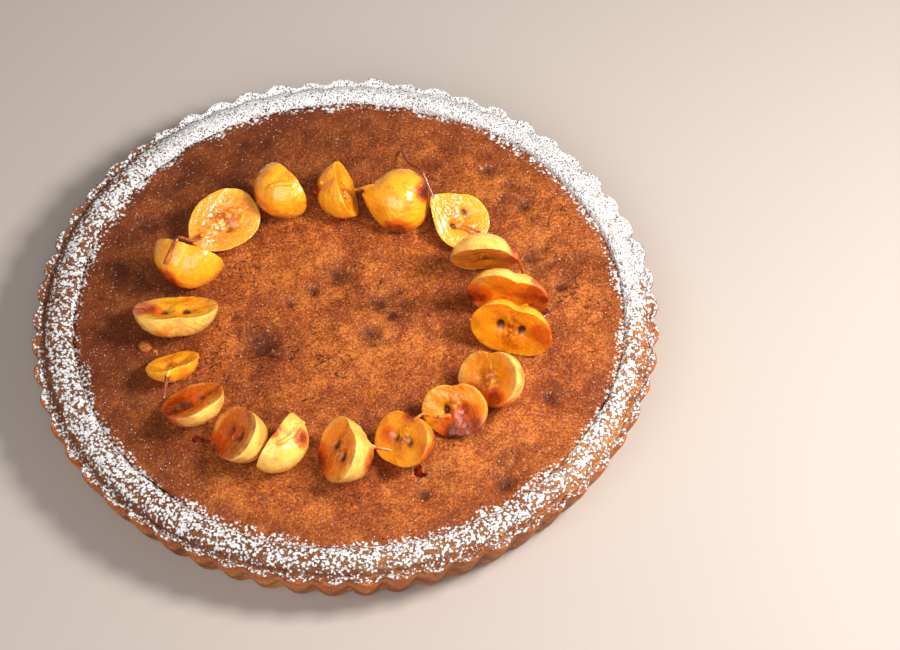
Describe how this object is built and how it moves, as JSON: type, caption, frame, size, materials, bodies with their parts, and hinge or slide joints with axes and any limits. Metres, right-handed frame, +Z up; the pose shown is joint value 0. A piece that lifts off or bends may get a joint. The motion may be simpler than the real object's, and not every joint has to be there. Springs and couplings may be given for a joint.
{
  "type": "chestnut tart",
  "caption": "Round chestnut tart: fluted pastry case dusted with sugar, baked brown filling and a ring of glazed, candied fruit halves with their stems.",
  "frame": {"origin": "centre of the case's flat underside, on the surface that the tart rests on", "axes": "+Z up, +X to the tart's right, +Y to its back; the long-stemmed fruit halves lie at the right and the back"},
  "size_m": [0.2602, 0.2594, 0.0497],
  "materials": {
    "pastry": "matte baked shortcrust pastry, golden to orange-brown, dusted with icing sugar on top",
    "filling": "matte baked chestnut filling, fine-grained, with soft swells, sunk spots and hairline cracks",
    "candied_fruit": "glossy caramel glaze over yellow-orange fruit, browner on the cut faces"
  },
  "bodies": {
    "root": {"crust": "pastry", "filling": "filling", "fruit_01": "candied_fruit", "fruit_02": "candied_fruit", "fruit_03": "candied_fruit", "fruit_04": "candied_fruit", "fruit_05": "candied_fruit", "fruit_06": "candied_fruit", "fruit_07": "candied_fruit", "fruit_08": "candied_fruit", "fruit_09": "candied_fruit", "fruit_10": "candied_fruit", "fruit_11": "candied_fruit", "fruit_12": "candied_fruit", "fruit_13": "candied_fruit", "fruit_14": "candied_fruit", "fruit_15": "candied_fruit", "fruit_16": "candied_fruit", "fruit_17": "candied_fruit", "fruit_18": "candied_fruit"}
  },
  "joints": []
}
